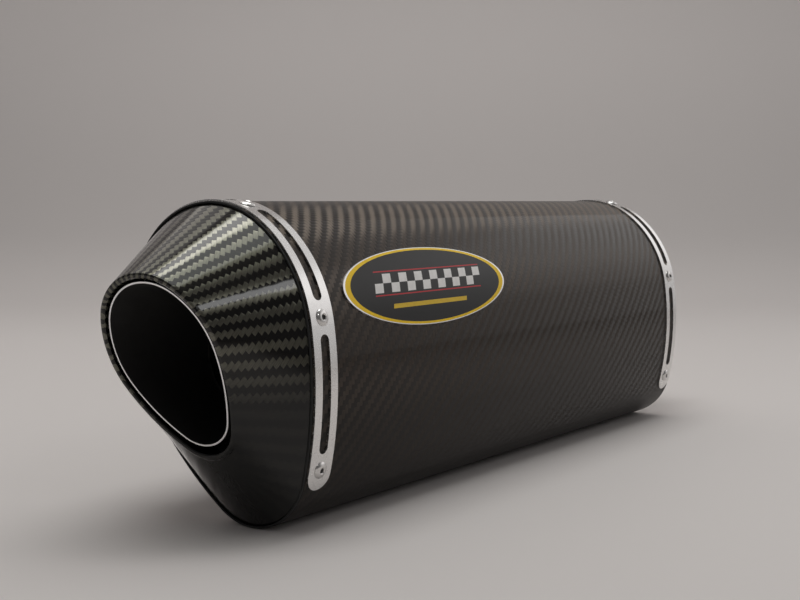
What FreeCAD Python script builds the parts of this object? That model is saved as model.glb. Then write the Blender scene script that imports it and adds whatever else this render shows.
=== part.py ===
import FreeCAD, Part
import math
import os
import Sketcher

from FreeCAD import Placement, Rotation, Vector

# An oval motorcycle silencer. Every piece is drawn upright about the gas path, which is the X axis:
# the outlet is at -X, the inlet mouth is at the origin. The last step leans each piece about X.

SIZES = [
    # the oval section: arcs meet where the outward normal stands at these angles from the top
    ("top_half_angle", 54.7),
    ("corner_half_angle", 102.1),
    ("side_half_angle", 124.4),
    ("top_radius", 54.7),
    ("corner_radius", 68.6),
    ("side_radius", 185.6),
    ("top_height", 75.4),
    ("lean_angle", 20.7),
    # lengths along the gas path
    ("inlet_reach", 55),
    ("sleeve_length", 402),
    ("sleeve_wall", 2.0),
    ("fit_gap", 0.2),
    ("spigot_depth", 18),
    # outlet cap and its slanted mouth
    ("cap_step", 1.0),
    ("cap_wall", 2.0),
    ("slash_angle", 18.2),
    ("mouth_reach", 34),
    ("lip_proud", 1.5),
    ("lip_top_radius", 27.6),
    ("lip_corner_radius", 42.1),
    ("lip_side_radius", 102.6),
    ("lip_top_height", 42.8),
    ("lip_thickness", 3.2),
    ("lip_round", 1.4),
    ("lip_shoulder", 0.55),
    ("lip_break", 0.6),
    ("lip_throat", 3.0),
    # outlet tube
    ("tube_top_radius", 26.5),
    ("tube_corner_radius", 40.2),
    ("tube_side_radius", 90.7),
    ("tube_top_height", 41.3),
    ("tube_wall", 0.8),
    # core, wrap and packing
    ("core_radius", 27.0),
    ("core_wall", 1.2),
    ("core_overrun", 10),
    ("hole_radius", 2.5),
    ("hole_pitch", 24),
    ("holes_per_row", 14),
    ("hole_rows", 5),
    ("wrap_thickness", 3),
    ("plate_thickness", 1.5),
    ("plate_flange", 8),
    ("plate_setback", 27),
    ("packing_gap", 0.4),
    # inlet cap and pipe
    ("dish_wall", 1.5),
    ("dish_depth", 19),
    ("pipe_wall", 1.55),
    ("pipe_joint", 75),
    ("joint_overlap", 5),
    ("joint_wall", 1.4),
    ("weld_radius", 1.6),
    ("hook_wire", 1.6),
    ("hook_radius", 9),
    ("hook_station", 24),
    # bands, rivets and badge
    ("seal_width", 1.0),
    ("seal_inset", 0.15),
    ("band_width", 16),
    ("band_edge", 0.5),
    ("band_thickness", 0.9),
    ("band_end", 186),
    ("rivet_pitch", 70.4),
    ("rivet_radius", 2.0),
    ("bore_gap", 0.05),
    ("rivet_head_radius", 4.0),
    ("rivet_head_height", 1.3),
    ("rivet_bulb_radius", 2.8),
    ("rivet_bulb_length", 2.0),
    ("stem_radius", 1.15),
    ("stem_recess", 1.0),
    ("slot_width", 6),
    ("slot_margin", 7.7),
    ("badge_length", 144),
    ("badge_height", 41),
    ("badge_thickness", 0.9),
    ("badge_arc", 94.9),
    ("badge_station", 100.4),
]

SECTION = ("top_radius", "corner_radius", "side_radius", "top_height")
LIP = ("lip_top_radius", "lip_corner_radius", "lip_side_radius", "lip_top_height")
TUBE = ("tube_top_radius", "tube_corner_radius", "tube_side_radius", "tube_top_height")

SPANS = [
    "2 * Sizes.top_half_angle",
    "Sizes.corner_half_angle - Sizes.top_half_angle",
    "Sizes.side_half_angle - Sizes.corner_half_angle",
    "360 - 2 * Sizes.side_half_angle",
    "Sizes.side_half_angle - Sizes.corner_half_angle",
    "Sizes.corner_half_angle - Sizes.top_half_angle",
]

SLEEVE_OUTLET = "-Sizes.inlet_reach - Sizes.sleeve_length"
SLEEVE_INLET = "-Sizes.inlet_reach"
MOUTH = SLEEVE_OUTLET + " - Sizes.mouth_reach"

doc = FreeCAD.newDocument("silencer")
sheet = doc.addObject("Spreadsheet::Sheet", "Sizes")
for row, (alias, number) in enumerate(SIZES, start=1):
    sheet.set("A%d" % row, alias)
    sheet.set("B%d" % row, str(number))
    sheet.setAlias("B%d" % row, alias)
doc.recompute()

pieces = []


# ---------------------------------------------------------------- the oval, as six tangent arcs

def size(name):
    """Current value of a sheet size."""
    return float(sheet.get(name))


def outward(angle):
    """Unit normal at an angle from the top, positive toward -Y, as a (y, z) vector in YZ."""
    turn = math.radians(angle)
    return Vector(0, -math.sin(turn), math.cos(turn))


def oval_arcs(shape, offset=0.0):
    """Six arcs (centre, radius, first angle, last angle) of an oval moved outward by offset."""
    first = size("top_half_angle")
    second = size("corner_half_angle")
    third = size("side_half_angle")
    radii = [size(name) for name in shape[:3]]
    run = radii[0] * math.sin(math.radians(first))
    run += radii[1] * (math.sin(math.radians(second)) - math.sin(math.radians(first)))
    run += radii[2] * (math.sin(math.radians(third)) - math.sin(math.radians(second)))
    bottom = run / math.sin(math.radians(third))
    radii = [radii[0], radii[1], radii[2], bottom, radii[2], radii[1]]
    angles = [-first, first, second, third, 360 - third, 360 - second, 360 - first]
    centre = Vector(0, 0, size(shape[3]) - radii[0])
    arcs = []
    for index, radius in enumerate(radii):
        if index:
            joint = centre + outward(angles[index]) * radii[index - 1]
            centre = joint - outward(angles[index]) * radius
        arcs.append((centre, radius + offset, angles[index], angles[index + 1]))
    return arcs


def normal_angle(arc_length):
    """Angle of the outward normal at an arc length from the top (positive toward -Y)."""
    left = abs(arc_length)
    for centre, radius, start, end in oval_arcs(SECTION):
        begin = max(start, 0)
        span = math.radians(end - begin) * radius
        if left <= span:
            return math.copysign(begin + math.degrees(left / radius), arc_length)
        left -= span


def skin_point(angle, station, offset=0.0):
    """Point of the sleeve's skin, moved outward by offset, where its normal stands at an angle."""
    arcs = oval_arcs(SECTION)
    if angle < arcs[0][2]:
        angle += 360
    for centre, radius, start, end in arcs:
        if start <= angle <= end:
            return centre + outward(angle) * (radius + offset) + Vector(station, 0, 0)


# ---------------------------------------------------------------- sketches and bodies

def role_plane(body, role):
    for feature in body.Origin.OriginFeatures:
        if feature.Role == role:
            return feature


def new_body(name):
    body = doc.addObject("PartDesign::Body", name)
    body.Label = name
    return body


def new_sketch(body, name, station, role="YZ_Plane", tilt=None):
    """Sketch square to X at a station given as an expression, tipped back by tilt if given."""
    sketch = body.newObject("Sketcher::SketchObject", name)
    sketch.AttachmentSupport = [(role_plane(body, role), "")]
    sketch.MapMode = "FlatFace"
    if tilt:
        sketch.AttachmentOffset = Placement(Vector(), Rotation(Vector(1, 0, 0), -size(tilt)))
    if station:
        sketch.setExpression("AttachmentOffset.Base.z", station)
    return sketch


def bind(sketch, constraint, expression):
    index = sketch.addConstraint(constraint)
    name = "size%d" % index
    sketch.renameConstraint(index, name)
    sketch.setExpression("Constraints." + name, expression)


def add_arc(sketch, centre, radius, start, end):
    circle = Part.Circle(Vector(centre.y, centre.z, 0), Vector(0, 0, 1), radius)
    arc = Part.ArcOfCircle(circle, math.radians(start + 90), math.radians(end + 90))
    return sketch.addGeometry(arc, False)


def bind_span(sketch, index, arc, start, end):
    bind(sketch, Sketcher.Constraint("Angle", arc, math.radians(end - start)), "(%s) * 1 deg" % SPANS[index])


def draw_oval(sketch, shape, inset=(), outset=()):
    """Closed oval of six tangent arcs, inset or outset by the sum of the named sizes."""
    offset = sum(size(name) for name in outset) - sum(size(name) for name in inset)
    change = "".join(" + Sizes." + name for name in outset)
    change += "".join(" - Sizes." + name for name in inset)
    arcs = oval_arcs(shape, offset)
    first = sketch.GeometryCount
    for centre, radius, start, end in arcs:
        add_arc(sketch, centre, radius, start, end)
    for index in range(6):
        following = first + (index + 1) % 6
        sketch.addConstraint(Sketcher.Constraint("Tangent", first + index, 2, following, 1))
    for index, name in ((0, shape[0]), (1, shape[1]), (2, shape[2]), (4, shape[2]), (5, shape[1])):
        bind(sketch, Sketcher.Constraint("Radius", first + index, arcs[index][1]), "Sizes." + name + change)
    for index in (0, 1, 2, 5):
        bind_span(sketch, index, first + index, arcs[index][2], arcs[index][3])
    rise = size(shape[3]) - size(shape[0])
    sketch.addConstraint(Sketcher.Constraint("Horizontal", first, 1, first, 2))
    sketch.addConstraint(Sketcher.Constraint("PointOnObject", first, 3, -2))
    bind(sketch, Sketcher.Constraint("DistanceY", -1, 1, first, 3, rise),
         "Sizes.%s - Sizes.%s" % (shape[3], shape[0]))


def draw_round(sketch, outset=()):
    """The core's circle, split where the oval's arcs meet so that the two can be lofted."""
    radius = size("core_radius") + sum(size(name) for name in outset)
    spans = [(start, end) for centre, reach, start, end in oval_arcs(SECTION)]
    for index, (start, end) in enumerate(spans):
        add_arc(sketch, Vector(), radius, start, end)
        sketch.addConstraint(Sketcher.Constraint("Coincident", index, 3, -1, 1))
        bind_span(sketch, index, index, start, end)
        if index:
            sketch.addConstraint(Sketcher.Constraint("Coincident", index - 1, 2, index, 1))
    sketch.addConstraint(Sketcher.Constraint("Horizontal", 0, 1, 0, 2))
    bind(sketch, Sketcher.Constraint("Radius", 0, radius),
         "Sizes.core_radius" + "".join(" + Sizes." + name for name in outset))


def draw_circle(sketch, names, inset=()):
    """Circle about the gas path; its radius is the sum of the named sizes less the insets."""
    radius = sum(size(name) for name in names) - sum(size(name) for name in inset)
    index = sketch.addGeometry(Part.Circle(Vector(), Vector(0, 0, 1), radius), False)
    sketch.addConstraint(Sketcher.Constraint("Coincident", index, 3, -1, 1))
    expression = " + ".join("Sizes." + name for name in names)
    expression += "".join(" - Sizes." + name for name in inset)
    bind(sketch, Sketcher.Constraint("Radius", index, radius), expression)


def pad(body, sketch, length):
    """Pad toward +X by a length given as an expression."""
    feature = body.newObject("PartDesign::Pad", sketch.Name + "Pad")
    feature.Profile = sketch
    feature.setExpression("Length", length)
    body.Tip = feature
    return feature


def loft(body, kind, first, *others):
    feature = body.newObject("PartDesign::" + kind, first.Name + "Loft")
    feature.Profile = first
    feature.Sections = list(others)
    feature.Ruled = True
    body.Tip = feature
    return feature


def finish(piece):
    """Lean a finished piece about the gas path and list it for export."""
    piece.Placement = Placement(Vector(), Rotation(Vector(1, 0, 0), -size("lean_angle")))
    pieces.append(piece)
    return piece


def bored(name, blank, pins):
    """A body with the rivet bores cut through it."""
    cut = doc.addObject("Part::Cut", name)
    cut.Label = name
    cut.Base = blank
    cut.Tool = pins
    return finish(cut)


def made_piece(name, shape):
    """A piece whose bent shape is built from the sheet's sizes."""
    feature = doc.addObject("Part::Feature", name)
    feature.Label = name
    feature.Shape = shape
    return feature


# ---------------------------------------------------------------- sleeve, caps and outlet tube

def make_sleeve(pins):
    body = new_body("sleeve_blank")
    sketch = new_sketch(body, "sleeve_section", SLEEVE_OUTLET)
    draw_oval(sketch, SECTION)
    draw_oval(sketch, SECTION, inset=["sleeve_wall"])
    pad(body, sketch, "Sizes.sleeve_length")
    doc.recompute()
    return bored("sleeve", body, pins)


def add_spigot(body, name, station, wall):
    """Ring that plugs into the sleeve's end."""
    sketch = new_sketch(body, name, station)
    draw_oval(sketch, SECTION, inset=["sleeve_wall", "fit_gap"])
    draw_oval(sketch, SECTION, inset=["sleeve_wall", "fit_gap", wall])
    return pad(body, sketch, "Sizes.spigot_depth")


def lip_sketch(body, name, back=None, inset=(), outset=()):
    """Oval on the slanted plane of the cap's mouth, or set back from it by a named size."""
    station = MOUTH + " - Sizes.lip_proud" + (" + Sizes." + back if back else "")
    sketch = new_sketch(body, name, station, tilt="slash_angle")
    draw_oval(sketch, LIP, inset=inset, outset=outset)
    return sketch


def make_outlet_cap(pins):
    """Cone from the sleeve's oval to the slanted mouth, with a rounded lip."""
    body = new_body("outlet_cap_blank")
    foot_outer = new_sketch(body, "cap_foot_outer", SLEEVE_OUTLET)
    draw_oval(foot_outer, SECTION, inset=["cap_step"])
    edge = lip_sketch(body, "lip_edge", "lip_round", outset=["lip_thickness"])
    shoulder = lip_sketch(body, "lip_shoulder_oval", "lip_shoulder", ["lip_shoulder"], ["lip_thickness"])
    front = lip_sketch(body, "lip_front", None, ["lip_round"], ["lip_thickness"])
    loft(body, "AdditiveLoft", foot_outer, edge, shoulder, front)
    foot_inner = new_sketch(body, "cap_foot_inner", SLEEVE_OUTLET)
    draw_oval(foot_inner, SECTION, inset=["sleeve_wall", "fit_gap", "cap_wall"])
    throat = lip_sketch(body, "lip_throat_oval", "lip_throat")
    bore = lip_sketch(body, "lip_bore", "lip_break")
    opening = lip_sketch(body, "lip_opening", outset=["lip_break"])
    loft(body, "SubtractiveLoft", foot_inner, throat, bore, opening)
    add_spigot(body, "cap_spigot", SLEEVE_OUTLET, "cap_wall")
    doc.recompute()
    return bored("outlet_cap", body, pins)


def make_outlet_tube():
    body = new_body("outlet_tube")
    seat = SLEEVE_OUTLET + " + Sizes.plate_setback"
    mouth_outer = new_sketch(body, "mouth_outer", MOUTH, tilt="slash_angle")
    draw_oval(mouth_outer, TUBE)
    seat_outer = new_sketch(body, "seat_outer", seat)
    draw_round(seat_outer, outset=["tube_wall"])
    loft(body, "AdditiveLoft", mouth_outer, seat_outer)
    mouth_inner = new_sketch(body, "mouth_inner", MOUTH, tilt="slash_angle")
    draw_oval(mouth_inner, TUBE, inset=["tube_wall"])
    seat_inner = new_sketch(body, "seat_inner", seat)
    draw_round(seat_inner)
    loft(body, "SubtractiveLoft", mouth_inner, seat_inner)
    return finish(body)


def make_inlet_cap(pins):
    body = new_body("inlet_cap_blank")
    neck = SLEEVE_INLET + " + Sizes.dish_depth"
    dish_outer = new_sketch(body, "dish_outer", SLEEVE_INLET)
    draw_oval(dish_outer, SECTION, inset=["cap_step"])
    neck_outer = new_sketch(body, "neck_outer", neck)
    draw_round(neck_outer, outset=["dish_wall"])
    loft(body, "AdditiveLoft", dish_outer, neck_outer)
    dish_inner = new_sketch(body, "dish_inner", SLEEVE_INLET)
    draw_oval(dish_inner, SECTION, inset=["sleeve_wall", "fit_gap", "dish_wall"])
    neck_inner = new_sketch(body, "neck_inner", neck)
    draw_round(neck_inner)
    loft(body, "SubtractiveLoft", dish_inner, neck_inner)
    add_spigot(body, "inlet_spigot", SLEEVE_INLET + " - Sizes.spigot_depth", "dish_wall")
    doc.recompute()
    return bored("inlet_cap", body, pins)


def make_seal(name, station):
    """Bead of sealant on the cut end of the sleeve, around the foot of a cap."""
    body = new_body(name)
    sketch = new_sketch(body, name + "_section", station)
    draw_oval(sketch, SECTION, inset=["seal_inset"])
    draw_oval(sketch, SECTION, inset=["cap_step"])
    pad(body, sketch, "Sizes.seal_width")
    return finish(body)


# ---------------------------------------------------------------- gas path, plates and packing

def make_tube(name, station, length, wall_in=(), wall_out=()):
    """Round tube whose wall lies inside or outside the core's radius."""
    body = new_body(name)
    sketch = new_sketch(body, name + "_section", station)
    draw_circle(sketch, ["core_radius", *wall_out])
    draw_circle(sketch, ["core_radius"], inset=wall_in)
    pad(body, sketch, length)
    return body


def make_plate(name, station, flange_station):
    """Flanged plate that closes the packed part of the sleeve around the core."""
    body = new_body(name)
    face = new_sketch(body, name + "_face", station)
    draw_oval(face, SECTION, inset=["sleeve_wall", "fit_gap"])
    draw_circle(face, ["core_radius"])
    pad(body, face, "Sizes.plate_thickness")
    flange = new_sketch(body, name + "_flange", flange_station)
    draw_oval(flange, SECTION, inset=["sleeve_wall", "fit_gap"])
    draw_oval(flange, SECTION, inset=["sleeve_wall", "fit_gap", "plate_thickness"])
    pad(body, flange, "Sizes.plate_flange")
    return finish(body)


def make_core():
    """Perforated core: rows of holes bored right through, then turned about the gas path."""
    start = SLEEVE_OUTLET + " + Sizes.plate_setback - Sizes.core_overrun"
    length = "Sizes.sleeve_length + Sizes.inlet_reach - Sizes.plate_setback"
    length += " + Sizes.core_overrun - Sizes.pipe_joint"
    body = make_tube("core", start, length, wall_in=["core_wall"])
    row = new_sketch(body, "hole_row", None, role="XZ_Plane")
    first = "Sizes.inlet_reach + Sizes.plate_setback + Sizes.hole_pitch"
    for index in range(int(size("holes_per_row"))):
        reach = size("inlet_reach") + size("plate_setback") + size("hole_pitch") * (index + 1)
        hole = row.addGeometry(Part.Circle(Vector(-reach, 0, 0), Vector(0, 0, 1), 2), False)
        row.addConstraint(Sketcher.Constraint("PointOnObject", hole, 3, -1))
        bind(row, Sketcher.Constraint("Radius", hole, 2), "Sizes.hole_radius")
        bind(row, Sketcher.Constraint("DistanceX", hole, 3, -1, 1, reach),
             first + " + %d * Sizes.hole_pitch" % index)
    holes = body.newObject("PartDesign::Pocket", "core_holes")
    holes.Profile = row
    holes.Type = "ThroughAll"
    holes.Midplane = True
    body.Tip = holes
    around = body.newObject("PartDesign::PolarPattern", "core_hole_rows")
    around.Originals = [holes]
    around.Axis = (role_plane(body, "X_Axis"), [""])
    around.Angle = 360
    around.setExpression("Occurrences", "Sizes.hole_rows")
    body.Tip = around
    return finish(body)


def make_packing(name, station, length):
    body = new_body(name)
    sketch = new_sketch(body, name + "_section", station)
    draw_oval(sketch, SECTION, inset=["sleeve_wall", "packing_gap"])
    draw_circle(sketch, ["core_radius", "wrap_thickness"])
    pad(body, sketch, length)
    return finish(body)


def make_weld():
    """Weld bead in the corner between the inlet cap's neck and the pipe."""
    body = new_body("inlet_weld")
    sketch = new_sketch(body, "weld_section", None, role="XZ_Plane")
    neck = size("dish_depth") - size("inlet_reach")
    foot = size("core_radius")
    leg = size("weld_radius")
    corners = [Vector(neck, foot, 0), Vector(neck + leg, foot, 0), Vector(neck, foot + leg, 0)]
    for index in range(3):
        sketch.addGeometry(Part.LineSegment(corners[index], corners[(index + 1) % 3]), False)
    for index in range(3):
        sketch.addConstraint(Sketcher.Constraint("Coincident", index, 2, (index + 1) % 3, 1))
    sketch.addConstraint(Sketcher.Constraint("Horizontal", 0))
    sketch.addConstraint(Sketcher.Constraint("Vertical", 2))
    bind(sketch, Sketcher.Constraint("DistanceX", 0, 1, -1, 1, -neck), "Sizes.inlet_reach - Sizes.dish_depth")
    bind(sketch, Sketcher.Constraint("DistanceY", -1, 1, 0, 1, foot), "Sizes.core_radius")
    bind(sketch, Sketcher.Constraint("DistanceX", 0, 1, 0, 2, leg), "Sizes.weld_radius")
    bind(sketch, Sketcher.Constraint("DistanceY", 2, 2, 2, 1, leg), "Sizes.weld_radius")
    turn = body.newObject("PartDesign::Revolution", "weld_bead")
    turn.Profile = sketch
    turn.ReferenceAxis = (role_plane(body, "X_Axis"), [""])
    turn.Angle = 360
    body.Tip = turn
    return finish(body)


def make_hook(name, side):
    """Wire loop standing on the pipe's side, cut to the pipe's round."""
    loop = doc.addObject("Part::Torus", name + "_loop")
    loop.setExpression("Radius1", "Sizes.hook_radius")
    loop.setExpression("Radius2", "Sizes.hook_wire")
    loop.Angle3 = 180
    loop.Placement.Rotation = Rotation(Vector(0, 0, 1), 0 if side > 0 else 180)
    loop.setExpression("Placement.Base.x", "-Sizes.hook_station")
    loop.setExpression("Placement.Base.y", "%d * (Sizes.core_radius - Sizes.hook_wire / 2)" % side)
    pipe = doc.addObject("Part::Cylinder", name + "_pipe")
    pipe.setExpression("Radius", "Sizes.core_radius")
    pipe.setExpression("Height", "Sizes.inlet_reach")
    pipe.Placement.Rotation = Rotation(Vector(0, 1, 0), -90)
    cut = doc.addObject("Part::Cut", name)
    cut.Label = name
    cut.Base = loop
    cut.Tool = pipe
    return finish(cut)


# ---------------------------------------------------------------- bands, rivets and badge

def rivet_arcs():
    """Arc lengths of the six rivets of a band, evenly spaced either side of the top."""
    return [(step + 0.5) * size("rivet_pitch") for step in range(-3, 3)]


def on_skin(shape, arc_length, station, offset=0.0):
    """A shape drawn about +Z, stood on the sleeve's skin at an arc length and a station."""
    angle = normal_angle(arc_length)
    placed = shape.copy()
    placed.Placement = Placement(skin_point(angle, station, offset), Rotation(Vector(1, 0, 0), angle))
    return placed


def skin_strip(start, end, low, high, middle, width):
    """Solid that follows the skin between two arc lengths and two heights above it."""
    left = middle - width / 2
    first = normal_angle(start)
    last = normal_angle(end)
    breaks = [size("top_half_angle"), size("corner_half_angle"), size("side_half_angle")]
    breaks = [-angle for angle in breaks] + breaks
    angles = sorted([first, last] + [angle for angle in breaks if first < angle < last])
    edges = []
    for offset in (low, high):
        for begin, finish_angle in zip(angles, angles[1:]):
            half = (begin + finish_angle) / 2
            points = [skin_point(angle, left, offset) for angle in (begin, half, finish_angle)]
            edges.append(Part.Arc(*points).toShape())
    for angle in (first, last):
        edges.append(Part.makeLine(skin_point(angle, left, low), skin_point(angle, left, high)))
    wire = Part.Wire(Part.__sortEdges__(edges))
    return Part.Face(wire).extrude(Vector(width, 0, 0))


def pin(radius, low, high):
    return Part.makeCylinder(radius, high - low, Vector(0, 0, low))


def make_pins(name, station):
    """Tool that bores the rivet holes of one end through sleeve and cap."""
    radius = size("rivet_radius") + size("bore_gap")
    tool = pin(radius, -2 * size("rivet_radius") - size("cap_wall"), size("rivet_radius"))
    shape = Part.makeCompound([on_skin(tool, arc, station) for arc in rivet_arcs()])
    return made_piece(name, shape)


def make_band(name, station):
    """Slotted strap around the sleeve's end, open below, with round ends."""
    thickness = size("band_thickness")
    width = size("band_width")
    slot = size("slot_width")
    last = size("band_end") - width / 2
    shape = skin_strip(-last, last, 0, thickness, station, width)
    for side in (-1, 1):
        tongue = skin_strip(side * last - width, side * last + width, 0, thickness, station, width)
        round_end = on_skin(pin(width / 2, -width / 4, width / 4), side * last, station)
        shape = shape.fuse(tongue.common(round_end))
    arcs = rivet_arcs()
    for arc in arcs:
        bore = pin(size("rivet_radius") + size("bore_gap"), -thickness, 2 * thickness)
        shape = shape.cut(on_skin(bore, arc, station))
    for begin, end in zip(arcs, arcs[1:]):
        begin += size("slot_margin") + slot / 2
        end -= size("slot_margin") + slot / 2
        shape = shape.cut(skin_strip(begin, end, -thickness, 2 * thickness, station, slot))
        for arc in (begin, end):
            shape = shape.cut(on_skin(pin(slot / 2, -thickness, 2 * thickness), arc, station))
    return finish(made_piece(name, shape.removeSplitter()))


def rivet_shapes(wall):
    """Blind rivet and its stem about +Z, with the seat of the head at height 0."""
    stem = size("stem_radius")
    hole = stem + size("bore_gap")
    head = size("rivet_head_radius")
    height = size("rivet_head_height")
    shank = size("rivet_radius")
    bulb = size("rivet_bulb_radius")
    grip = size("band_thickness") + size("sleeve_wall") + size("fit_gap") + size(wall) + 2 * size("bore_gap")
    back = grip + size("rivet_bulb_length")
    corners = [(hole + 0.5, height), (hole, height - 0.3), (hole, -back), (bulb, -back),
               (bulb, -grip - 0.5), (shank, -grip), (shank, 0), (head, 0), (head, 0.25)]
    points = [Vector(x, 0, z) for x, z in corners]
    edges = [Part.makeLine(begin, end) for begin, end in zip(points, points[1:])]
    edges.append(Part.Arc(points[-1], Vector(0.72 * head, 0, 0.82 * height), points[0]).toShape())
    profile = Part.Face(Part.Wire(edges))
    rivet = profile.revolve(Vector(), Vector(0, 0, 1), 360)
    knob = size("rivet_radius")
    rod = pin(stem, -back - knob / 2, height - size("stem_recess"))
    rod = rod.fuse(pin(knob, -back - knob, -back)).removeSplitter()
    return rivet, rod


def make_rivets(end, station, wall):
    rivet, rod = rivet_shapes(wall)
    seat = size("band_thickness")
    for name, shape in ((end + "_rivets", rivet), (end + "_rivet_stems", rod)):
        placed = [on_skin(shape, arc, station, seat) for arc in rivet_arcs()]
        finish(made_piece(name, Part.makeCompound(placed)))


def make_badge():
    """Thin oval plate bent to the sleeve."""
    length = size("badge_length")
    height = size("badge_height")
    arc = size("badge_arc")
    thickness = size("badge_thickness")
    station = size("badge_station") - size("inlet_reach") - size("sleeve_length")
    plate = skin_strip(arc - height, arc + height, 0, thickness, station, length + 2)
    rim = Part.Ellipse(Vector(0, 0, -height / 4), length / 2, height / 2)
    outline = Part.Face(Part.Wire(rim.toShape())).extrude(Vector(0, 0, height / 2))
    shape = plate.common(on_skin(outline, arc, station))
    return finish(made_piece("badge", shape))


# ---------------------------------------------------------------- the silencer

sleeve_outlet = -size("inlet_reach") - size("sleeve_length")
band_middle = size("band_edge") + size("band_width") / 2
outlet_band_station = sleeve_outlet + band_middle
inlet_band_station = -size("inlet_reach") - band_middle
packed_start = SLEEVE_OUTLET + " + Sizes.plate_setback + Sizes.plate_thickness"
packed_length = "Sizes.sleeve_length - 2 * (Sizes.plate_setback + Sizes.plate_thickness)"

outlet_pins = make_pins("outlet_rivet_bores", outlet_band_station)
inlet_pins = make_pins("inlet_rivet_bores", inlet_band_station)
both_pins = doc.addObject("Part::Compound", "rivet_bores")
both_pins.Links = [outlet_pins, inlet_pins]

make_sleeve(both_pins)
make_outlet_cap(outlet_pins)
make_outlet_tube()
make_inlet_cap(inlet_pins)
make_seal("outlet_seal", SLEEVE_OUTLET + " - Sizes.seal_width")
make_seal("inlet_seal", SLEEVE_INLET)
make_plate("outlet_plate", SLEEVE_OUTLET + " + Sizes.plate_setback",
           SLEEVE_OUTLET + " + Sizes.plate_setback + Sizes.plate_thickness - Sizes.plate_flange")
make_plate("inlet_plate", SLEEVE_INLET + " - Sizes.plate_setback - Sizes.plate_thickness",
           SLEEVE_INLET + " - Sizes.plate_setback - Sizes.plate_thickness")
make_core()
finish(make_tube("wool_wrap", packed_start, packed_length, wall_out=["wrap_thickness"]))
make_packing("packing", packed_start, packed_length)
finish(make_tube("core_joint", "-Sizes.pipe_joint - Sizes.joint_overlap", "2 * Sizes.joint_overlap",
                 wall_out=["joint_wall"]))
finish(make_tube("inlet_pipe", "-Sizes.pipe_joint", "Sizes.pipe_joint", wall_in=["pipe_wall"]))
make_weld()
make_hook("spring_hook_left", 1)
make_hook("spring_hook_right", -1)
make_band("outlet_band", outlet_band_station)
make_band("inlet_band", inlet_band_station)
make_rivets("outlet", outlet_band_station, "cap_wall")
make_rivets("inlet", inlet_band_station, "dish_wall")
make_badge()
doc.recompute()

for thing in doc.Objects:
    if "Invalid" in thing.State or "Error" in thing.State:
        raise RuntimeError("%s did not build: %s" % (thing.Name, thing.State))

os.makedirs("parts", exist_ok=True)
for piece in pieces:
    shape = piece.Shape
    if shape.isNull() or not shape.isValid():
        raise RuntimeError("%s has no valid shape" % piece.Label)
    shape.exportStep("parts/%s.step" % piece.Label)
    box = shape.BoundBox
    print("%-20s %9.0f mm3  x %.1f..%.1f  y %.1f..%.1f  z %.1f..%.1f" % (
        piece.Label, shape.Volume, box.XMin, box.XMax, box.YMin, box.YMax, box.ZMin, box.ZMax))
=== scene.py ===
import math

import bpy
from mathutils import Matrix, Vector


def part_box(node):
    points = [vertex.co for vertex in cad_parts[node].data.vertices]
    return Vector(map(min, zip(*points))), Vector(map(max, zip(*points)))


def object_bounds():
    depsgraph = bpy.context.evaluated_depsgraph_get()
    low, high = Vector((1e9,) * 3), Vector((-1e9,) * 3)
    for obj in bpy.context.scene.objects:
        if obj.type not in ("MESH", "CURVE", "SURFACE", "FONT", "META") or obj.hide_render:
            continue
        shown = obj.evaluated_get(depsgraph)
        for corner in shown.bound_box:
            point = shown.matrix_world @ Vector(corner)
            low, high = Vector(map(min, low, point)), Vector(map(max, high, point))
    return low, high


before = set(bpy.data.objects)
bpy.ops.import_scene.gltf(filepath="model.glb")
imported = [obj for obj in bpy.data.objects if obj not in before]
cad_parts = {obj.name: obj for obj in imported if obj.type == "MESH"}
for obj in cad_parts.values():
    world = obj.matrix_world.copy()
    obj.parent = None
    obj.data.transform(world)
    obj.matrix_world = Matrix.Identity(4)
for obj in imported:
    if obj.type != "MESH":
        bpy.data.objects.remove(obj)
cad_low, cad_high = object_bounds()
scene = bpy.context.scene

# The sleeve's section, upright before the part is leaned: radius and end angle of each arc from the top.
LEAN = math.radians(20.7)
ARCS = ((0.0547, 54.7), (0.0686, 102.1), (0.1856, 124.4), (0.0332, 180.0))
TOP_CENTRE = 0.0207  # height of the first arc's centre
SLASH = math.radians(18.2)  # the outlet's slant

SLEEVE_TOW = 0.0022  # width of a tow
CAP_TOW = 0.00295
CAP_STRETCH = 1.62  # length along the cap's wall for each length along X

BADGE_ARC = 0.0949  # from the section's top to the badge's middle, round the skin
BADGE_HEIGHT = 0.041


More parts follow.
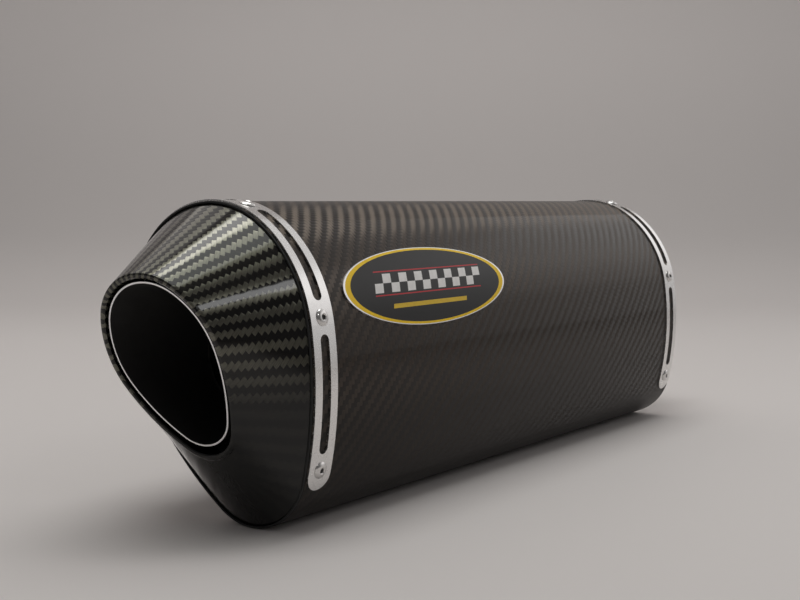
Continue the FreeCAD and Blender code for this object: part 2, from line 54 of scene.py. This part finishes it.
class Graph:
    """Short names for building a material's nodes."""

    def __init__(self, name):
        self.material = bpy.data.materials.new(name)
        self.material.use_nodes = True
        self.nodes = self.material.node_tree.nodes
        self.links = self.material.node_tree.links
        self.shader = self.nodes["Principled BSDF"]

    def add(self, kind, **settings):
        node = self.nodes.new(kind)
        for key, value in settings.items():
            setattr(node, key, value)
        return node

    def put(self, socket, value):
        if isinstance(value, bpy.types.NodeSocket):
            self.links.new(value, socket)
        else:
            socket.default_value = value

    def math(self, operation, *values):
        node = self.add("ShaderNodeMath", operation=operation)
        for socket, value in zip(node.inputs, values):
            self.put(socket, value)
        return node.outputs[0]

    def clamp(self, value, low, high):
        node = self.add("ShaderNodeClamp")
        self.put(node.inputs["Value"], value)
        self.put(node.inputs["Min"], low)
        self.put(node.inputs["Max"], high)
        return node.outputs[0]

    def step(self, value, low, high, bottom=0.0, top=1.0):
        """value from low to high gives bottom to top, smoothly."""
        node = self.add("ShaderNodeMapRange", interpolation_type="SMOOTHSTEP")
        for socket, number in zip(node.inputs, (value, low, high, bottom, top)):
            self.put(socket, number)
        return node.outputs[0]

    def vector(self, operation, *values):
        node = self.add("ShaderNodeVectorMath", operation=operation)
        for socket, value in zip(node.inputs, values):
            self.put(socket, value)
        return node.outputs["Value" if operation == "DOT_PRODUCT" else "Vector"]

    def scaled(self, vector, factor):
        node = self.add("ShaderNodeVectorMath", operation="SCALE")
        self.put(node.inputs[0], vector)
        self.put(node.inputs["Scale"], factor)
        return node.outputs["Vector"]

    def mix(self, factor, one, two):
        """Colours, or vectors, mixed by factor."""
        node = self.add("ShaderNodeMix", data_type="RGBA")
        for socket, value in zip((node.inputs[0], node.inputs[6], node.inputs[7]), (factor, one, two)):
            self.put(socket, value)
        return node.outputs[2]

    def split(self, vector):
        node = self.add("ShaderNodeSeparateXYZ")
        self.put(node.inputs[0], vector)
        return node.outputs

    def join(self, x, y, z):
        node = self.add("ShaderNodeCombineXYZ")
        for socket, value in zip(node.inputs, (x, y, z)):
            self.put(socket, value)
        return node.outputs[0]

    def noise(self, vector, scale, detail=2.0):
        node = self.add("ShaderNodeTexNoise")
        self.put(node.inputs["Vector"], vector)
        self.put(node.inputs["Scale"], scale)
        self.put(node.inputs["Detail"], detail)
        return node.outputs["Fac"]

    def place(self):
        return self.add("ShaderNodeTexCoord").outputs["Object"]

    def normal(self):
        return self.add("ShaderNodeNewGeometry").outputs["Normal"]

    def bump(self, height, distance, strength=1.0):
        node = self.add("ShaderNodeBump")
        self.put(node.inputs["Height"], height)
        self.put(node.inputs["Distance"], distance)
        self.put(node.inputs["Strength"], strength)
        self.put(self.shader.inputs["Normal"], node.outputs["Normal"])

    def set(self, **values):
        for key, value in values.items():
            self.put(self.shader.inputs[key.replace("_", " ").title().replace("Ior", "IOR")], value)


def grey(value, warm=0.0):
    """A grey with its red raised and its blue lowered by the share warm."""
    return (value * (1 + warm), value, value * (1 - warm), 1.0)


def section_arcs():
    """Radius, centre across, centre up, start angle and end angle of the section's arcs on one side."""
    arcs = []
    start = 0.0
    across, up = 0.0, TOP_CENTRE
    for index, (radius, end) in enumerate(ARCS):
        if index:
            last = ARCS[index - 1][0]
            across += (last - radius) * math.sin(start)
            up += (last - radius) * math.cos(start)
        arcs.append((radius, across, up, start, math.radians(end)))
        start = math.radians(end)
    return arcs


def unrolled(graph):
    """The skin laid flat: distance along the gas path, and round from the top towards the badge."""
    turned = graph.add("ShaderNodeVectorRotate", rotation_type="X_AXIS")
    graph.put(turned.inputs["Vector"], graph.place())
    graph.put(turned.inputs["Angle"], LEAN)
    along, across, up = graph.split(turned.outputs["Vector"])
    side = graph.math("SIGN", across)
    outwards = graph.math("ABSOLUTE", across)
    total = 0.0
    for radius, centre_across, centre_up, start, end in section_arcs():
        out = graph.math("SUBTRACT", outwards, centre_across)
        above = graph.math("SUBTRACT", up, centre_up)
        swept = graph.math("SUBTRACT", graph.clamp(graph.math("ARCTAN2", out, above), start, end), start)
        total = graph.math("MULTIPLY_ADD", swept, radius, total)
    return along, graph.math("MULTIPLY", graph.math("MULTIPLY", total, side), -1.0)


def crown(graph, value):
    """0 where value is 0 or 1, and 1 half way between them."""
    rest = graph.math("SUBTRACT", 1.0, value)
    return graph.math("MULTIPLY", graph.math("MULTIPLY", value, rest), 4.0)


def tow_height(graph, across, run):
    """Height of a rounded tow. across and run go from 0 to 1 over its width and over one float."""
    arch = graph.math("POWER", graph.math("ABSOLUTE", crown(graph, run)), 0.35)
    side = graph.math("POWER", graph.math("ABSOLUTE", crown(graph, across)), 0.45)
    return graph.math("MULTIPLY", side, arch)


def weave(graph, along, around, tow, slanted):
    """A 2x2 twill: 1 where the first family of tows is on top, height, highlight direction and grain."""
    if slanted:
        scale = math.sqrt(0.5) / tow
        first = graph.math("MULTIPLY", graph.math("ADD", along, around), scale)
        second = graph.math("MULTIPLY", graph.math("SUBTRACT", along, around), -scale)
    else:
        first = graph.math("DIVIDE", along, tow)
        second = graph.math("DIVIDE", around, tow)
    first_cell = graph.math("FLOOR", first)
    second_cell = graph.math("FLOOR", second)
    repeat = 4.0  # a tow floats over two others and then passes under two
    phase = graph.math("FLOORED_MODULO", graph.math("ADD", first_cell, second_cell), repeat)
    over = graph.math("LESS_THAN", phase, 1.5)

    # How far along its float each tow is. A float is two tows long.
    first_run = graph.math("FLOORED_MODULO", graph.math("ADD", first, second_cell), repeat)
    second_run = graph.math("FLOORED_MODULO", graph.math("ADD", second, first_cell), repeat)
    first_run = graph.math("MULTIPLY", first_run, 0.5)
    second_run = graph.math("MULTIPLY", graph.math("SUBTRACT", second_run, 2.0), 0.5)
    first_height = tow_height(graph, graph.math("FRACT", second), first_run)
    second_height = tow_height(graph, graph.math("FRACT", first), second_run)
    tall = graph.mix(over, second_height, first_height)

    axis = graph.join(1.0, 0.0, 0.0)
    sideways = graph.vector("CROSS_PRODUCT", graph.normal(), axis)
    first_way, second_way = sideways, axis
    if slanted:
        first_way = graph.vector("ADD", axis, sideways)
        second_way = graph.vector("SUBTRACT", axis, sideways)
    way = graph.mix(over, second_way, first_way)

    # Noise that is fine across a family's fibres and long along them.
    grains = []
    for first_scale, second_scale, seed in ((0.6, 9.0, 0.0), (9.0, 0.6, 7.0)):
        x = graph.math("MULTIPLY", first, first_scale)
        y = graph.math("MULTIPLY", second, second_scale)
        grains.append(graph.noise(graph.join(x, y, seed), 1.0))
    return over, tall, way, graph.mix(over, grains[1], grains[0])


def carbon(name, tow, slanted, lit_and_shaded_tones, bottom_shade_step, fibre_roughness, coat, coat_roughness):
    """Lacquered twill. The two tones are a lit and a shaded tone of one fibre, painted light for its two
    families; the step over the way round darkens the weave towards the bottom as painted shade.
    """
    graph = Graph(name)
    along, around = unrolled(graph)
    if slanted:
        along = graph.math("MULTIPLY", along, CAP_STRETCH)
    over, tall, way, grain = weave(graph, along, around, tow, slanted)
    # Painted shade: towards the bottom of the section the weave's tone darkens and its relief fades,
    # standing in for the shadowed floor that the skin reflects there.
    painted_shade_fade = graph.step(graph.math("ABSOLUTE", around), *bottom_shade_step)
    # Painted light: both families are the same fibre; one gets a lit tone and the other a shaded tone,
    # on top of their anisotropic highlights.
    tone = graph.mix(over, lit_and_shaded_tones[1], lit_and_shaded_tones[0])
    tone = graph.scaled(tone, graph.step(grain, 0.3, 0.7, 0.75, 1.2))
    tone = graph.scaled(tone, graph.step(tall, 0.0, 0.5, 0.35, 1.0))
    tone = graph.scaled(tone, painted_shade_fade)
    graph.set(
        base_color=tone,
        metallic=1.0,
        roughness=fibre_roughness,
        anisotropic=1.0,
        tangent=way,
        coat_weight=coat,
        coat_roughness=coat_roughness,
    )
    graph.put(graph.shader.inputs["Coat IOR"], 1.5)
    graph.bump(graph.math("MULTIPLY", tall, painted_shade_fade), distance=0.00012, strength=0.6)
    return graph.material


def steel(name, tone, roughness, warm=0.01):
    """Steel with a faint grain."""
    graph = Graph(name)
    place = graph.place()
    grain = graph.noise(place, 900.0, 3.0)
    cloud = graph.noise(place, 45.0, 3.0)
    graph.set(
        base_color=graph.mix(cloud, grey(tone * 0.95, warm), grey(min(tone * 1.03, 0.97), warm)),
        metallic=1.0,
        roughness=graph.step(grain, 0.25, 0.75, roughness * 0.85, roughness * 1.2),
    )
    graph.bump(grain, distance=0.000004, strength=0.15)
    return graph.material


def rubber(name, tone):
    """Dull and finely mottled."""
    graph = Graph(name)
    mottle = graph.noise(graph.place(), 700.0, 3.0)
    graph.set(base_color=graph.mix(mottle, grey(tone * 0.7), grey(tone * 1.3)), roughness=0.7)
    graph.bump(mottle, distance=0.00003, strength=0.4)
    return graph.material


def outlet_steel():
    """Matte black heat-proof finish, with the cut edge left bright."""
    edge_start = -0.47  # along X; the cut edge is all beyond this
    graph = Graph("outlet_steel")
    along = graph.split(graph.place())[0]
    mouth = (-math.cos(SLASH), 0.0, -math.sin(SLASH))
    facing_out = graph.math("ABSOLUTE", graph.vector("DOT_PRODUCT", graph.normal(), mouth))
    beyond = graph.math("LESS_THAN", along, edge_start)
    edge = graph.math("MULTIPLY", graph.step(facing_out, 0.75, 0.85), beyond)
    mottle = graph.noise(graph.place(), 260.0, 3.0)
    black = graph.mix(mottle, grey(0.016, 0.03), grey(0.028, 0.03))
    graph.set(
        base_color=graph.mix(edge, black, grey(0.95)),
        metallic=edge,
        roughness=graph.step(edge, 0.0, 1.0, 0.42, 0.3),
    )
    return graph.material


def badge_enamel():
    """Black field with a yellow border on an aluminium plate, and a plain chequered band."""
    rim_start, rim_end = 0.925, 0.980  # as shares of the way from the middle to the plate's edge
    slant = 0.3  # shift along for each length down
    square_long, square_tall = 0.0068, 0.0048
    # A reach is half a length, and a half is half a thickness.
    band_rise, band_reach = 0.0022, 0.0476
    line_away, line_half = 0.0060, 0.0003
    stripe_drop, stripe_reach, stripe_half = 0.0095, 0.033, 0.0011
    graph = Graph("badge_enamel")
    along, around = unrolled(graph)
    low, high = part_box("badge")
    across = graph.math("SUBTRACT", along, (low.x + high.x) / 2)
    down = graph.math("SUBTRACT", around, BADGE_ARC)
    lean = graph.math("ADD", across, graph.math("MULTIPLY", down, slant))

    def share(value, half):
        """(value / half) squared."""
        return graph.math("POWER", graph.math("ABSOLUTE", graph.math("DIVIDE", value, half)), 2.0)

    def within(value, half):
        """1 where value is nearer to 0 than half."""
        return graph.math("LESS_THAN", graph.math("ABSOLUTE", value), half)

    square = graph.math("ADD", share(across, (high.x - low.x) / 2), share(down, BADGE_HEIGHT / 2))
    reach = graph.math("SQRT", square)
    bare = graph.math("GREATER_THAN", reach, rim_end)
    outer = graph.math("GREATER_THAN", reach, rim_start)
    rim = graph.math("MULTIPLY", outer, graph.math("LESS_THAN", reach, rim_end))

    column = graph.math("FLOOR", graph.math("DIVIDE", lean, square_long))
    below_top = graph.math("ADD", down, band_rise + square_tall)
    row = graph.math("FLOOR", graph.math("DIVIDE", below_top, square_tall))
    parity = graph.math("FLOORED_MODULO", graph.math("ADD", column, row), 2.0)
    chequer = graph.math("LESS_THAN", parity, 0.5)
    inside = within(lean, band_reach)
    off_band = graph.math("ADD", down, band_rise)
    band = graph.math("MULTIPLY", inside, within(off_band, square_tall))
    off_line = graph.math("SUBTRACT", graph.math("ABSOLUTE", off_band), line_away)
    lines = graph.math("MULTIPLY", inside, within(off_line, line_half))
    off_stripe = graph.math("SUBTRACT", down, stripe_drop)
    stripe = graph.math("MULTIPLY", within(lean, stripe_reach), within(off_stripe, stripe_half))

    colour = graph.mix(graph.math("MULTIPLY", band, chequer), grey(0.016), grey(0.80, 0.02))
    colour = graph.mix(lines, colour, (0.55, 0.02, 0.03, 1.0))
    colour = graph.mix(stripe, colour, (0.75, 0.50, 0.03, 1.0))
    colour = graph.mix(rim, colour, (0.95, 0.62, 0.005, 1.0))
    colour = graph.mix(bare, colour, grey(0.75))
    mottle = graph.noise(graph.place(), 300.0, 2.0)
    graph.set(
        base_color=graph.scaled(colour, graph.step(mottle, 0.2, 0.8, 0.95, 1.05)),
        metallic=bare,
        roughness=graph.step(mottle, 0.2, 0.8, 0.28, 0.36),
        specular_ior_level=0.25,
    )
    return graph.material


def perforated_steel():
    """Sheet with round holes in staggered rows, the holes painted near-black as painted shade."""
    pitch = 0.005
    holes_round = 34
    hole_radius = 0.31  # as a share of the pitch
    graph = Graph("core_steel")
    along, across, up = graph.split(graph.place())
    angle = graph.math("ARCTAN2", across, up)
    column = graph.math("MULTIPLY", along, 1 / pitch)
    rows = graph.math("MULTIPLY", angle, holes_round / (2 * math.pi))
    shift = graph.math("FLOORED_MODULO", graph.math("FLOOR", rows), 2.0)
    shift = graph.math("MULTIPLY", shift, 0.5)
    x = graph.math("SUBTRACT", graph.math("FRACT", graph.math("ADD", column, shift)), 0.5)
    y = graph.math("SUBTRACT", graph.math("FRACT", rows), 0.5)
    square = graph.math("ADD", graph.math("MULTIPLY", x, x), graph.math("MULTIPLY", y, y))
    # Painted shade: the holes are not cut but painted near-black and non-metal, standing in for the dark
    # depth behind them.
    hole_shade = graph.math("LESS_THAN", graph.math("SQRT", square), hole_radius)
    tint = graph.noise(graph.place(), 60.0, 3.0)
    sheet = graph.mix(tint, grey(0.06, 0.08), grey(0.12, 0.05))
    graph.set(
        base_color=graph.mix(hole_shade, sheet, grey(0.01)),
        metallic=graph.math("SUBTRACT", 1.0, hole_shade),
        roughness=graph.step(tint, 0.2, 0.8, 0.35, 0.55),
    )
    return graph.material


def fibre_wool(name, tone, warm, metallic):
    """A tangle of loose fibre."""
    graph = Graph(name)
    tangle = graph.noise(graph.place(), 500.0, 6.0)
    graph.set(
        base_color=graph.mix(tangle, grey(tone * 0.35, warm), grey(tone * 1.3, warm)),
        metallic=metallic,
        roughness=0.8,
    )
    graph.bump(tangle, distance=0.0004, strength=0.7)
    return graph.material


SLOTS = {
    "carbon_satin": carbon(
        "carbon_satin",
        tow=SLEEVE_TOW,
        slanted=False,
        # Painted light: a shaded and a lit tone of the same fibre.
        lit_and_shaded_tones=((0.030, 0.0245, 0.0205, 1.0), (0.112, 0.091, 0.075, 1.0)),
        # Painted shade: the weave darkens towards the bottom of the section.
        bottom_shade_step=(0.10, 0.17, 1.0, 0.30),
        fibre_roughness=0.38,
        coat=0.22,
        coat_roughness=0.06,
    ),
    "carbon_gloss": carbon(
        "carbon_gloss",
        tow=CAP_TOW,
        slanted=True,
        # Painted light: a shaded and a lit tone of the same fibre.
        lit_and_shaded_tones=((0.006, 0.005, 0.004, 1.0), (0.150, 0.146, 0.114, 1.0)),
        # Painted shade: the weave darkens towards the bottom of the section.
        bottom_shade_step=(0.105, 0.150, 1.0, 0.05),
        fibre_roughness=0.30,
        coat=0.9,
        coat_roughness=0.07,
    ),
    "outlet_steel": outlet_steel(),
    "pressed_steel": steel("pressed_steel", 0.66, 0.30),
    "core_steel": perforated_steel(),
    "steel_wool": fibre_wool("steel_wool", 0.42, 0.0, 0.6),
    "glass_fibre": fibre_wool("glass_fibre", 0.8, 0.05, 0.0),
    "pipe_steel": steel("pipe_steel", 0.62, 0.26, 0.03),
    "weld_steel": steel("weld_steel", 0.50, 0.36, 0.05),
    "band_steel": steel("band_steel", 0.80, 0.24, 0.012),
    "rivet_steel": steel("rivet_steel", 0.70, 0.20, 0.02),
    "stem_steel": steel("stem_steel", 0.10, 0.5, 0.0),
    "sealant": rubber("sealant", 0.012),
    "badge_enamel": badge_enamel(),
}

# Every node keeps its shape and gets its slot's material.
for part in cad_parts.values():
    for slot in part.material_slots:
        slot.material = SLOTS[slot.material.name.split(".")[0]]


# The camera's place, and its forward, right and up directions.
EYE = Vector((-0.8861, -0.4093, 0.0739))
FORWARD = Vector((0.8109, 0.5799, -0.0787)).normalized()
LEVEL = Vector((0.58172, -0.81339, 0.0)).normalized()
RIGHT = (LEVEL - LEVEL.dot(FORWARD) * FORWARD).normalized()
UP = RIGHT.cross(FORWARD)


def facing(place, right, up):
    """A transform at place with X to the right, Y up and Z towards the viewer."""
    turn = Matrix((right, up, right.cross(up))).transposed()
    return Matrix.Translation(place) @ turn.to_4x4()


def add_camera():
    """A camera past the outlet on the badge's side, looking towards the inlet at a slant."""
    data = bpy.data.cameras.new("camera")
    data.sensor_width = 36.0
    data.lens = 56.25
    data.clip_start = 0.01
    data.clip_end = 100.0
    camera = bpy.data.objects.new("camera", data)
    camera.matrix_world = facing(EYE, RIGHT, UP)
    scene.collection.objects.link(camera)
    scene.camera = camera


def backdrop_material():
    """Pale paper, with painted shade: a little darker at the bend's foot and far out on the badge's
    side.
    """
    graph = Graph("backdrop")
    place = graph.place()
    along, across, up = graph.split(place)
    rise = graph.math("SUBTRACT", up, cad_low.z)
    # Painted shade: darker where the floor bends up into the wall, and lighter again higher up the wall.
    tone = graph.step(rise, 0.0, 0.11, 0.97, 0.86)
    tone = graph.math("ADD", tone, graph.step(rise, 0.11, 0.50, 0.0, 0.16))
    skew = 0.2  # turns the painted shade's edge a little from the part's axis
    # Painted shade: the floor darkens far out on the badge's side and stands in for the shade that the
    # lower skin reflects.
    front = graph.math("SUBTRACT", graph.math("MULTIPLY", along, skew), across)
    tone = graph.math("MULTIPLY", tone, graph.step(front, 0.215, 1.1, 1.0, 0.5))
    cloud = graph.noise(place, 1.2, 2.0)
    pale = graph.mix(cloud, (0.72, 0.68, 0.665, 1.0), (0.75, 0.71, 0.695, 1.0))
    graph.set(base_color=graph.scaled(pale, tone), roughness=0.6, specular_ior_level=0.2)
    return graph.material


def add_backdrop():
    """A floor that curves up into a wall behind the part, across the view."""
    near, far, bend, tall = -3.0, 1.9, 0.9, 3.0
    left, right = -3.2, 1.6
    right_slope = -0.57  # the right edge's shift for each height
    steps = 24
    profile = [(near, 0.0), (far - bend, 0.0)]
    for step in range(1, steps + 1):
        angle = math.radians(90 * step / steps)
        profile.append((far - bend + bend * math.sin(angle), bend - bend * math.cos(angle)))
    profile.append((far, tall))
    middle = (cad_low + cad_high) / 2
    ahead = Vector((FORWARD.x, FORWARD.y, 0.0)).normalized()
    beside = Vector((ahead.y, -ahead.x, 0.0))
    base = Vector((middle.x, middle.y, cad_low.z))
    points = []
    for depth, rise in profile:
        for side in (left, right + right_slope * rise):
            points.append(base + ahead * depth + beside * side + Vector((0.0, 0.0, rise)))
    faces = [(2 * i, 2 * i + 1, 2 * i + 3, 2 * i + 2) for i in range(len(profile) - 1)]
    mesh = bpy.data.meshes.new("backdrop")
    mesh.from_pydata(points, [], faces)
    mesh.shade_smooth()
    mesh.materials.append(backdrop_material())
    sweep = bpy.data.objects.new("backdrop", mesh)
    scene.collection.objects.link(sweep)


def add_lamp(name, place, target, width, height, power, colour=(1.0, 1.0, 1.0)):
    """A rectangular soft light at place, turned to target."""
    data = bpy.data.lights.new(name, "AREA")
    data.shape = "RECTANGLE"
    data.size = width
    data.size_y = height
    data.energy = power
    data.color = colour
    lamp = bpy.data.objects.new(name, data)
    lamp.location = place
    lamp.rotation_euler = (Vector(target) - Vector(place)).to_track_quat("-Z", "Y").to_euler()
    scene.collection.objects.link(lamp)


def add_world():
    """Soft light from the inlet's side, strongest low above the horizon and dark behind the camera."""
    world = bpy.data.worlds.new("studio")
    world.use_nodes = True
    nodes = world.node_tree.nodes
    links = world.node_tree.links
    parts = nodes.new("ShaderNodeSeparateXYZ")
    links.new(nodes.new("ShaderNodeTexCoord").outputs["Generated"], parts.inputs[0])

    def ramp(axis, *values):
        """A smooth step over one axis of the direction. values are low, high, bottom and top."""
        node = nodes.new("ShaderNodeMapRange")
        node.interpolation_type = "SMOOTHSTEP"
        links.new(parts.outputs[axis], node.inputs["Value"])
        for socket, value in zip(list(node.inputs)[1:], values):
            socket.default_value = value
        return node

    lift = ramp("Z", 0.0, 0.45, 0.5, 1.1)
    ceiling = ramp("Z", 0.49, 0.54, 1.0, 0.6)
    above = nodes.new("ShaderNodeMath")
    above.operation = "MULTIPLY"
    links.new(lift.outputs[0], above.inputs[0])
    links.new(ceiling.outputs[0], above.inputs[1])
    fade = ramp("X", 0.1, 0.8, 0.12)
    links.new(above.outputs[0], fade.inputs["To Max"])
    nodes["Background"].inputs["Color"].default_value = (1.0, 0.975, 0.965, 1.0)
    links.new(fade.outputs[0], nodes["Background"].inputs["Strength"])
    scene.world = world


add_camera()
add_backdrop()
add_world()
add_lamp("overhead", (-0.25, 0.0, 1.5), (-0.25, 0.0, 0.0), 1.5, 1.0, 8.0, (0.97, 1.0, 0.97))
add_lamp("wall", (-0.1, 0.1, 2.1), (1.29, 1.11, 0.4), 1.8, 0.8, 11.5, (1.0, 0.97, 0.96))
add_lamp("behind", (-0.17, 0.92, 1.15), (-0.45, 0.0, 0.0), 1.2, 0.8, 1.7, (1.0, 0.96, 0.92))
add_lamp("strip", (-0.80, -1.00, 0.83), (-0.50, -0.04, 0.03), 0.30, 0.14, 0.55)
scene.view_settings.view_transform = "Standard"
